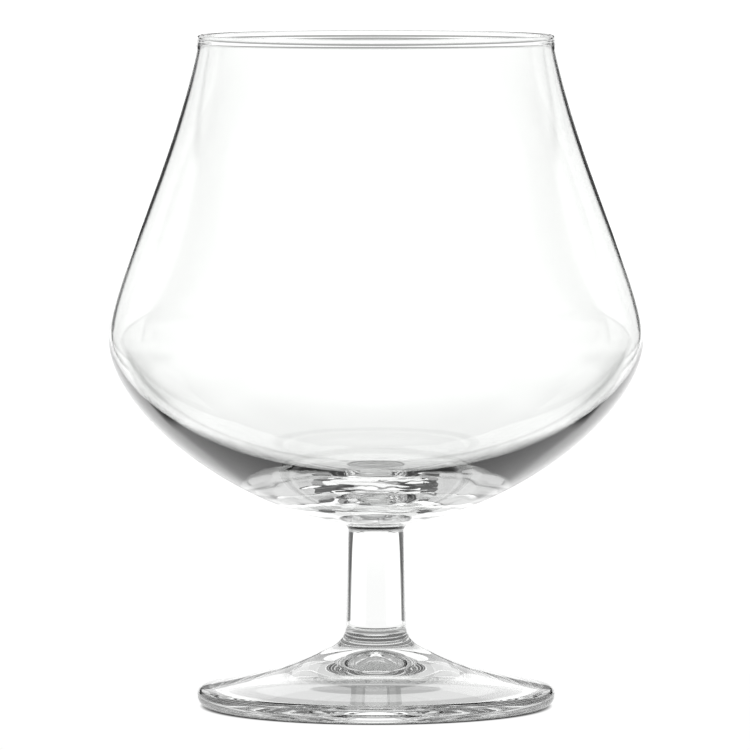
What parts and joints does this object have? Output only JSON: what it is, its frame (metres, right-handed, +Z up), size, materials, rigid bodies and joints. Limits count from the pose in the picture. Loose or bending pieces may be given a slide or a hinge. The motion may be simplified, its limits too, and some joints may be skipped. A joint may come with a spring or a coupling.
{
  "type": "brandy snifter",
  "caption": "Clear brandy snifter: a wide thin-walled bowl that narrows to a rounded rim, on a short solid stem and a domed round foot.",
  "frame": {"origin": "centre of the ring that the foot rests on, at the level of the table", "axes": "+Z up along the glass's own axis, from the foot to the rim; X and Y are level and the glass is the same all round"},
  "size_m": [0.0972, 0.0972, 0.122],
  "materials": {
    "clear_glass": "clear colourless soda-lime glass, smooth and fire-polished"
  },
  "bodies": {
    "root": {"bowl": "clear_glass", "stem": "clear_glass", "foot": "clear_glass"}
  },
  "joints": []
}
